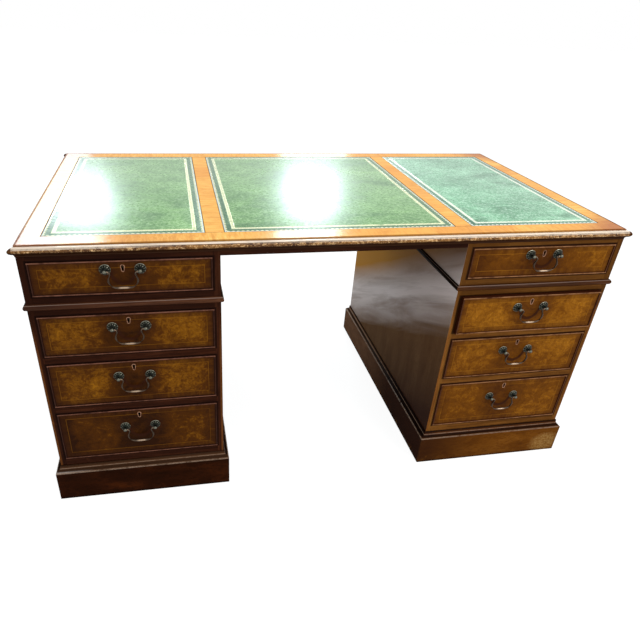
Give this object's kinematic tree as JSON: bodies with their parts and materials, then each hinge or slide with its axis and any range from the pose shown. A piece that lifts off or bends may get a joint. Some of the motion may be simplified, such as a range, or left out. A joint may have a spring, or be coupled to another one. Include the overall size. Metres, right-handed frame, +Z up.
{
  "type": "partners desk",
  "caption": "Double-pedestal partners desk with a leather-lined top, cock-beaded drawers with swan-neck handles, and cupboards at the back.",
  "frame": {"origin": "on the floor, under the middle of the desk", "axes": "+X to the right as one sits at the four-drawer front, +Y towards the back, +Z up"},
  "size_m": [1.5848, 0.8942, 0.775],
  "materials": {
    "carcase": "polished dark walnut and mahogany",
    "moulding": "polished dark mahogany",
    "banding": "polished crossbanded yew or mahogany",
    "drawers": "polished burr walnut veneer with crossbanding",
    "runners": "plain planed hardwood",
    "leather": "green hide with gilt tooling",
    "brass": "dark antiqued brass"
  },
  "bodies": {
    "desk": {"top_board": "carcase", "top_crossbanding": "banding", "top_edge_moulding": "moulding", "left_leather": "leather", "centre_leather": "leather", "right_leather": "leather", "top_bearers": "carcase", "locating_dowels": "runners", "left_frieze_carcase": "carcase", "left_waist_moulding": "moulding", "left_pedestal_carcase": "carcase", "left_drawer_runners": "runners", "left_plinth": "moulding", "left_door_hinges": "brass", "right_frieze_carcase": "carcase", "right_waist_moulding": "moulding", "right_pedestal_carcase": "carcase", "right_drawer_runners": "runners", "right_plinth": "moulding", "right_door_hinges": "brass"},
    "left_frieze_drawer": {"left_frieze_drawer": "drawers", "left_frieze_fittings": "brass"},
    "left_frieze_bail": {"left_frieze_bail": "brass"},
    "left_rear_drawer": {"left_rear_drawer": "drawers", "left_rear_fittings": "brass"},
    "left_rear_bail": {"left_rear_bail": "brass"},
    "left_upper_drawer": {"left_upper_drawer": "drawers", "left_upper_fittings": "brass"},
    "left_upper_bail": {"left_upper_bail": "brass"},
    "left_middle_drawer": {"left_middle_drawer": "drawers", "left_middle_fittings": "brass"},
    "left_middle_bail": {"left_middle_bail": "brass"},
    "left_lower_drawer": {"left_lower_drawer": "drawers", "left_lower_fittings": "brass"},
    "left_lower_bail": {"left_lower_bail": "brass"},
    "left_door": {"left_door": "drawers", "left_door_fittings": "brass"},
    "left_door_lower_bail": {"left_door_lower_bail": "brass"},
    "left_door_middle_bail": {"left_door_middle_bail": "brass"},
    "left_door_upper_bail": {"left_door_upper_bail": "brass"},
    "right_frieze_drawer": {"right_frieze_drawer": "drawers", "right_frieze_fittings": "brass"},
    "right_frieze_bail": {"right_frieze_bail": "brass"},
    "right_rear_drawer": {"right_rear_drawer": "drawers", "right_rear_fittings": "brass"},
    "right_rear_bail": {"right_rear_bail": "brass"},
    "right_upper_drawer": {"right_upper_drawer": "drawers", "right_upper_fittings": "brass"},
    "right_upper_bail": {"right_upper_bail": "brass"},
    "right_middle_drawer": {"right_middle_drawer": "drawers", "right_middle_fittings": "brass"},
    "right_middle_bail": {"right_middle_bail": "brass"},
    "right_lower_drawer": {"right_lower_drawer": "drawers", "right_lower_fittings": "brass"},
    "right_lower_bail": {"right_lower_bail": "brass"},
    "right_door": {"right_door": "drawers", "right_door_fittings": "brass"},
    "right_door_lower_bail": {"right_door_lower_bail": "brass"},
    "right_door_middle_bail": {"right_door_middle_bail": "brass"},
    "right_door_upper_bail": {"right_door_upper_bail": "brass"}
  },
  "joints": [
    {"name": "left_frieze_slide", "type": "slide", "parent": "desk", "child": "left_frieze_drawer", "axis": [0, -1, 0], "range_m": [0, 0.3]},
    {"name": "left_frieze_bail_swing", "type": "hinge", "parent": "left_frieze_drawer", "child": "left_frieze_bail", "pos_m": [-0.548, -0.438, 0.7116], "axis": [-1, 0, 0], "range_deg": [0, 150]},
    {"name": "left_rear_slide", "type": "slide", "parent": "desk", "child": "left_rear_drawer", "axis": [0, 1, 0], "range_m": [0, 0.3]},
    {"name": "left_rear_bail_swing", "type": "hinge", "parent": "left_rear_drawer", "child": "left_rear_bail", "pos_m": [-0.548, 0.438, 0.7116], "axis": [1, 0, 0], "range_deg": [0, 150]},
    {"name": "left_upper_slide", "type": "slide", "parent": "desk", "child": "left_upper_drawer", "axis": [0, -1, 0], "range_m": [0, 0.39]},
    {"name": "left_upper_bail_swing", "type": "hinge", "parent": "left_upper_drawer", "child": "left_upper_bail", "pos_m": [-0.548, -0.438, 0.5569], "axis": [-1, 0, 0], "range_deg": [0, 150]},
    {"name": "left_middle_slide", "type": "slide", "parent": "desk", "child": "left_middle_drawer", "axis": [0, -1, 0], "range_m": [0, 0.39]},
    {"name": "left_middle_bail_swing", "type": "hinge", "parent": "left_middle_drawer", "child": "left_middle_bail", "pos_m": [-0.548, -0.438, 0.40845], "axis": [-1, 0, 0], "range_deg": [0, 150]},
    {"name": "left_lower_slide", "type": "slide", "parent": "desk", "child": "left_lower_drawer", "axis": [0, -1, 0], "range_m": [0, 0.39]},
    {"name": "left_lower_bail_swing", "type": "hinge", "parent": "left_lower_drawer", "child": "left_lower_bail", "pos_m": [-0.548, -0.438, 0.2388], "axis": [-1, 0, 0], "range_deg": [0, 150]},
    {"name": "left_door_hinge", "type": "hinge", "parent": "desk", "child": "left_door", "pos_m": [-0.75965, 0.4266, 0.36725], "axis": [0, 0, 1], "range_deg": [0, 165]},
    {"name": "left_door_lower_bail_swing", "type": "hinge", "parent": "left_door", "child": "left_door_lower_bail", "pos_m": [-0.548, 0.438, 0.2388], "axis": [1, 0, 0], "range_deg": [0, 150]},
    {"name": "left_door_middle_bail_swing", "type": "hinge", "parent": "left_door", "child": "left_door_middle_bail", "pos_m": [-0.548, 0.438, 0.40845], "axis": [1, 0, 0], "range_deg": [0, 150]},
    {"name": "left_door_upper_bail_swing", "type": "hinge", "parent": "left_door", "child": "left_door_upper_bail", "pos_m": [-0.548, 0.438, 0.5569], "axis": [1, 0, 0], "range_deg": [0, 150]},
    {"name": "right_frieze_slide", "type": "slide", "parent": "desk", "child": "right_frieze_drawer", "axis": [0, -1, 0], "range_m": [0, 0.3]},
    {"name": "right_frieze_bail_swing", "type": "hinge", "parent": "right_frieze_drawer", "child": "right_frieze_bail", "pos_m": [0.548, -0.438, 0.7116], "axis": [-1, 0, 0], "range_deg": [0, 150]},
    {"name": "right_rear_slide", "type": "slide", "parent": "desk", "child": "right_rear_drawer", "axis": [0, 1, 0], "range_m": [0, 0.3]},
    {"name": "right_rear_bail_swing", "type": "hinge", "parent": "right_rear_drawer", "child": "right_rear_bail", "pos_m": [0.548, 0.438, 0.7116], "axis": [1, 0, 0], "range_deg": [0, 150]},
    {"name": "right_upper_slide", "type": "slide", "parent": "desk", "child": "right_upper_drawer", "axis": [0, -1, 0], "range_m": [-0.009, 0.381]},
    {"name": "right_upper_bail_swing", "type": "hinge", "parent": "right_upper_drawer", "child": "right_upper_bail", "pos_m": [0.548, -0.447, 0.5569], "axis": [-1, 0, 0], "range_deg": [0, 150]},
    {"name": "right_middle_slide", "type": "slide", "parent": "desk", "child": "right_middle_drawer", "axis": [0, -1, 0], "range_m": [0, 0.39]},
    {"name": "right_middle_bail_swing", "type": "hinge", "parent": "right_middle_drawer", "child": "right_middle_bail", "pos_m": [0.548, -0.438, 0.40845], "axis": [-1, 0, 0], "range_deg": [0, 150]},
    {"name": "right_lower_slide", "type": "slide", "parent": "desk", "child": "right_lower_drawer", "axis": [0, -1, 0], "range_m": [0, 0.39]},
    {"name": "right_lower_bail_swing", "type": "hinge", "parent": "right_lower_drawer", "child": "right_lower_bail", "pos_m": [0.548, -0.438, 0.2388], "axis": [-1, 0, 0], "range_deg": [0, 150]},
    {"name": "right_door_hinge", "type": "hinge", "parent": "desk", "child": "right_door", "pos_m": [0.75965, 0.4266, 0.36725], "axis": [0, 0, -1], "range_deg": [0, 165]},
    {"name": "right_door_lower_bail_swing", "type": "hinge", "parent": "right_door", "child": "right_door_lower_bail", "pos_m": [0.548, 0.438, 0.2388], "axis": [1, 0, 0], "range_deg": [0, 150]},
    {"name": "right_door_middle_bail_swing", "type": "hinge", "parent": "right_door", "child": "right_door_middle_bail", "pos_m": [0.548, 0.438, 0.40845], "axis": [1, 0, 0], "range_deg": [0, 150]},
    {"name": "right_door_upper_bail_swing", "type": "hinge", "parent": "right_door", "child": "right_door_upper_bail", "pos_m": [0.548, 0.438, 0.5569], "axis": [1, 0, 0], "range_deg": [0, 150]}
  ]
}
